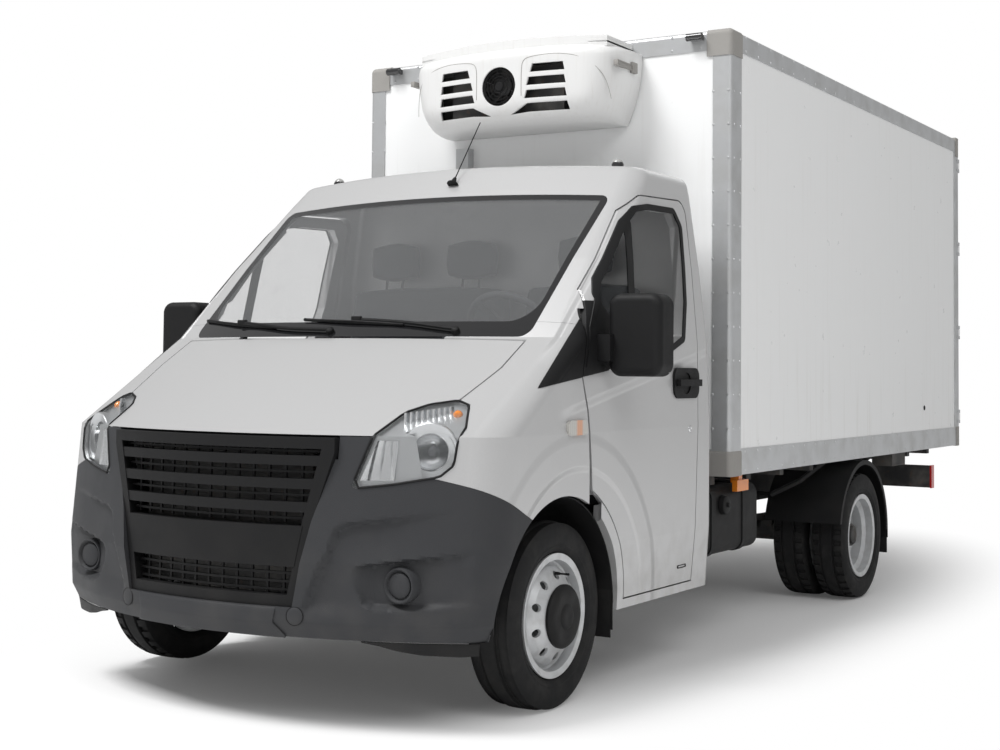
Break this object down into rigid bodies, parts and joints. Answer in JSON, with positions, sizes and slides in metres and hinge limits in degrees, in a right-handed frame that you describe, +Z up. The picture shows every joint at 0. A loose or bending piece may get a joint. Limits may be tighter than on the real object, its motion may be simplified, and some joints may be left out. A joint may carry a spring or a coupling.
{
  "type": "light refrigerated truck",
  "caption": "Semi-bonneted light truck with an insulated rear box, a nose-mounted cooling unit, opening doors and bonnet, and steered front wheels.",
  "frame": {"origin": "on the floor, midway between the nose and the tail and between the sides", "axes": "+X to the truck's left, +Y to its tail, +Z up; the truck faces -Y"},
  "size_m": [2.468, 6.05, 2.752],
  "materials": {
    "silver_paint": "gloss",
    "dark_metal": "satin",
    "tinted_glass": "polished",
    "black_plastic": "matte",
    "grey_plastic": "matte",
    "clear_lens": "polished",
    "lamp_chrome": "polished",
    "amber_lens": "gloss",
    "red_lens": "gloss",
    "dark_trim": "matte",
    "seat_cloth": "woven",
    "cast_metal": "rough",
    "exhaust_steel": "satin",
    "white_panel": "gloss",
    "alloy": "satin",
    "grey_casting": "matte",
    "white_shell": "satin",
    "wheel_steel": "gloss",
    "tyre": "matte"
  },
  "bodies": {
    "truck": {"cab_body": "silver_paint", "cab_floor": "dark_metal", "wings": "silver_paint", "windscreen": "tinted_glass", "cab_trims": "black_plastic", "front_bumper": "grey_plastic", "front_lip": "black_plastic", "grille": "black_plastic", "headlamp_covers": "clear_lens", "headlamp_bodies": "lamp_chrome", "marker_lamps": "amber_lens", "mudguards": "black_plastic", "dashboard": "dark_trim", "seats": "seat_cloth", "chassis_frame": "dark_metal", "front_axle": "dark_metal", "rear_axle": "dark_metal", "leaf_springs": "dark_metal", "engine_block": "cast_metal", "exhaust": "exhaust_steel", "side_tank": "black_plastic", "underrun_bar": "dark_metal", "rear_lamps": "red_lens", "box_panels": "white_panel", "box_floor": "white_panel", "box_frame": "alloy", "box_castings": "grey_casting", "unit_shell": "white_shell", "unit_core": "dark_metal", "unit_duct": "grey_casting", "evaporator": "white_shell"},
    "left_cab_door": {"left_door": "silver_paint", "left_door_glass": "tinted_glass", "left_door_trim": "black_plastic"},
    "front_left_road_wheel": {"front_left_wheel": "wheel_steel", "front_left_tyre": "tyre"},
    "rear_left_twin_wheel": {"rear_left_wheels": "wheel_steel", "rear_left_tyres": "tyre"},
    "left_steering_knuckle": {"left_knuckle": "dark_metal"},
    "left_rear_box_door": {"left_box_door": "white_panel"},
    "right_cab_door": {"right_door": "silver_paint", "right_door_glass": "tinted_glass", "right_door_trim": "black_plastic"},
    "front_right_road_wheel": {"front_right_wheel": "wheel_steel", "front_right_tyre": "tyre"},
    "rear_right_twin_wheel": {"rear_right_wheels": "wheel_steel", "rear_right_tyres": "tyre"},
    "right_steering_knuckle": {"right_knuckle": "dark_metal"},
    "right_rear_box_door": {"right_box_door": "white_panel"},
    "bonnet_lid": {"bonnet": "silver_paint"},
    "steering_wheel_hand": {"steering_wheel": "dark_trim"}
  },
  "joints": [
    {"name": "left_steer", "type": "hinge", "parent": "truck", "child": "left_steering_knuckle", "pos_m": [0.76, -2.193, 0.335], "axis": [0, 0, 1], "range_deg": [-28, 28]},
    {"name": "front_left_spin", "type": "hinge", "parent": "left_steering_knuckle", "child": "front_left_road_wheel", "pos_m": [0.855, -2.193, 0.335], "axis": [1, 0, 0], "continuous": true},
    {"name": "rear_left_spin", "type": "hinge", "parent": "truck", "child": "rear_left_twin_wheel", "pos_m": [0.78, 1.107, 0.335], "axis": [1, 0, 0], "continuous": true},
    {"name": "left_cab_door_hinge", "type": "hinge", "parent": "truck", "child": "left_cab_door", "pos_m": [0.95, -2.008, 0.9], "axis": [0, 0, -1], "range_deg": [0, 68]},
    {"name": "left_box_door_hinge", "type": "hinge", "parent": "truck", "child": "left_rear_box_door", "pos_m": [0.98, 3.006, 1.7], "axis": [0, 0, -1], "range_deg": [0, 255]},
    {"name": "right_steer", "type": "hinge", "parent": "truck", "child": "right_steering_knuckle", "pos_m": [-0.76, -2.193, 0.335], "axis": [0, 0, 1], "range_deg": [-28, 28]},
    {"name": "front_right_spin", "type": "hinge", "parent": "right_steering_knuckle", "child": "front_right_road_wheel", "pos_m": [-0.855, -2.193, 0.335], "axis": [1, 0, 0], "continuous": true},
    {"name": "rear_right_spin", "type": "hinge", "parent": "truck", "child": "rear_right_twin_wheel", "pos_m": [-0.78, 1.107, 0.335], "axis": [1, 0, 0], "continuous": true},
    {"name": "right_cab_door_hinge", "type": "hinge", "parent": "truck", "child": "right_cab_door", "pos_m": [-0.95, -2.008, 0.9], "axis": [0, 0, 1], "range_deg": [0, 68]},
    {"name": "right_box_door_hinge", "type": "hinge", "parent": "truck", "child": "right_rear_box_door", "pos_m": [-0.98, 3.006, 1.7], "axis": [0, 0, 1], "range_deg": [0, 255]},
    {"name": "bonnet_hinge", "type": "hinge", "parent": "truck", "child": "bonnet_lid", "pos_m": [0, -2.173, 1.31], "axis": [-1, 0, 0], "range_deg": [0, 50]},
    {"name": "steering_wheel_turn", "type": "hinge", "parent": "truck", "child": "steering_wheel_hand", "pos_m": [0.44, -1.673, 1.36], "axis": [0, 0.766, 0.6428], "range_deg": [-504, 504]}
  ],
  "couplings": [
    {"joint": "right_steer", "follows": "left_steer", "ratio": 1},
    {"joint": "steering_wheel_turn", "follows": "left_steer", "ratio": 18}
  ]
}
